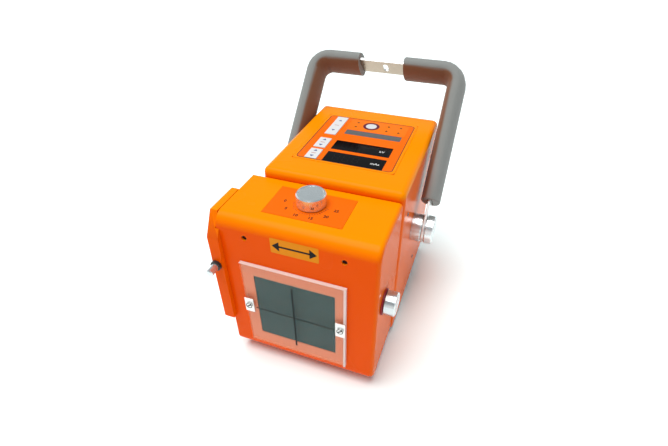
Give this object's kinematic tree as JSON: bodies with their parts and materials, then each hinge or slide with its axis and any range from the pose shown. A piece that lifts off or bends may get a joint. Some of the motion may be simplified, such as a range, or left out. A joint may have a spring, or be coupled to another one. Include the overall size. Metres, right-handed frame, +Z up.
{
  "type": "portable x-ray generator",
  "caption": "Box-shaped portable X-ray generator with a collimator head, beam window, shutter dials, keypad with displays and a padded bail handle.",
  "frame": {"origin": "on the floor under the middle of the overall box, in the middle plane of the generator body", "axes": "+Z up, -Y the way the collimator looks, +X to the right seen from the front"},
  "size_m": [0.2254, 0.3506, 0.3021],
  "materials": {
    "orange_enamel": "glossy orange moulding",
    "aluminium": "satin",
    "rubber": "matt black",
    "black_plastic": "satin black",
    "orange_print": "printed film",
    "black_glass": "gloss black",
    "white_key": "white film",
    "circuit_board": "green laminate",
    "polished_steel": "turned and polished",
    "brass": "plain",
    "clear_acrylic": "clear sheet",
    "smoked_acrylic": "smoked sheet",
    "brushed_steel": "brushed",
    "mirror_glass": "silvered",
    "slate_steel": "slate grey",
    "red_ring": "dark red",
    "grey_foam": "closed-cell foam"
  },
  "bodies": {
    "housing": {"body_cover": "orange_enamel", "head_shell": "orange_enamel", "lamp_cover": "orange_enamel", "base_tray": "aluminium", "handswitch_socket": "aluminium", "tube_tank": "aluminium", "head_back_plate": "aluminium", "mirror_bracket": "aluminium", "lamp_module": "aluminium", "top_rack_guide": "aluminium", "side_rack_guide": "aluminium", "foot_front_left": "rubber", "foot_front_right": "rubber", "foot_rear_left": "rubber", "foot_rear_right": "rubber", "rear_panel": "black_plastic", "power_inlet": "black_plastic", "switch_frame": "black_plastic", "capacitor_left": "black_plastic", "capacitor_right": "black_plastic", "button_collar": "black_plastic", "control_overlay": "orange_print", "dial_plate": "orange_print", "display_lower": "black_glass", "display_upper": "black_glass", "control_board": "circuit_board", "inverter_board": "circuit_board", "pivot_boss_left": "polished_steel", "pivot_boss_right": "polished_steel", "laser_left": "brass", "laser_right": "brass", "top_bush": "brass", "side_bush": "brass", "window_plate": "clear_acrylic", "beam_pane": "smoked_acrylic", "clip_left": "brushed_steel", "clip_right": "brushed_steel", "mirror": "mirror_glass", "side_dial_ring": "red_ring"},
    "handle": {"handle_strap": "brushed_steel", "grip_left": "grey_foam", "grip_right": "grey_foam"},
    "clamp_left": {"clamp_knob_left": "polished_steel"},
    "clamp_right": {"clamp_knob_right": "polished_steel"},
    "top_dial": {"top_dial": "polished_steel", "top_dial_shaft": "polished_steel"},
    "side_dial": {"side_dial": "polished_steel", "side_dial_shaft": "polished_steel"},
    "blade_left": {"blade_left": "slate_steel"},
    "blade_right": {"blade_right": "slate_steel"},
    "blade_upper": {"blade_upper": "slate_steel"},
    "blade_lower": {"blade_lower": "slate_steel"},
    "lamp_button": {"lamp_button": "polished_steel"},
    "key_low": {"key_low": "white_key"},
    "key_middle": {"key_middle": "white_key"},
    "key_tall": {"key_tall": "white_key"},
    "power_rocker": {"power_rocker": "black_plastic"}
  },
  "joints": [
    {"name": "handle_tilt", "type": "hinge", "parent": "housing", "child": "handle", "pos_m": [0, 0.00945, 0.1315], "axis": [1, 0, 0], "range_deg": [-50, 70]},
    {"name": "clamp_left_turn", "type": "hinge", "parent": "housing", "child": "clamp_left", "pos_m": [-0.107, 0.00945, 0.1315], "axis": [-1, 0, 0], "range_deg": [0, 270]},
    {"name": "clamp_right_turn", "type": "hinge", "parent": "housing", "child": "clamp_right", "pos_m": [0.107, 0.00945, 0.1315], "axis": [1, 0, 0], "range_deg": [0, 270]},
    {"name": "top_dial_turn", "type": "hinge", "parent": "housing", "child": "top_dial", "pos_m": [-0.0086, -0.10135, 0.2165], "axis": [0, 0, 1], "range_deg": [0, 270]},
    {"name": "blade_right_slide", "type": "slide", "parent": "housing", "child": "blade_right", "axis": [1, 0, 0], "range_m": [0, 0.034]},
    {"name": "blade_left_slide", "type": "slide", "parent": "housing", "child": "blade_left", "axis": [-1, 0, 0], "range_m": [0, 0.034]},
    {"name": "side_dial_turn", "type": "hinge", "parent": "housing", "child": "side_dial", "pos_m": [0.0828, -0.12585, 0.1262], "axis": [1, 0, 0], "range_deg": [0, 270]},
    {"name": "blade_lower_slide", "type": "slide", "parent": "housing", "child": "blade_lower", "axis": [0, 0, -1], "range_m": [0, 0.034]},
    {"name": "blade_upper_slide", "type": "slide", "parent": "housing", "child": "blade_upper", "axis": [0, 0, 1], "range_m": [0, 0.034]},
    {"name": "lamp_button_press", "type": "slide", "parent": "housing", "child": "lamp_button", "axis": [0, 1, 0], "range_m": [0, 0.003], "stiffness_N_per_m": 300},
    {"name": "key_low_press", "type": "slide", "parent": "housing", "child": "key_low", "axis": [0, 0, -1], "range_m": [0, 0.0005], "stiffness_N_per_m": 800},
    {"name": "key_middle_press", "type": "slide", "parent": "housing", "child": "key_middle", "axis": [0, 0, -1], "range_m": [0, 0.0005], "stiffness_N_per_m": 800},
    {"name": "key_tall_press", "type": "slide", "parent": "housing", "child": "key_tall", "axis": [0, 0, -1], "range_m": [0, 0.0005], "stiffness_N_per_m": 800},
    {"name": "power_rocker_tip", "type": "hinge", "parent": "housing", "child": "power_rocker", "pos_m": [0, 0.12685, 0.061], "axis": [1, 0, 0], "range_deg": [-16, 0]}
  ],
  "couplings": [
    {"joint": "blade_right_slide", "follows": "top_dial_turn", "m_per_rad": 0.0072},
    {"joint": "blade_left_slide", "follows": "top_dial_turn", "m_per_rad": 0.0072},
    {"joint": "blade_lower_slide", "follows": "side_dial_turn", "m_per_rad": 0.0072},
    {"joint": "blade_upper_slide", "follows": "side_dial_turn", "m_per_rad": 0.0072}
  ]
}
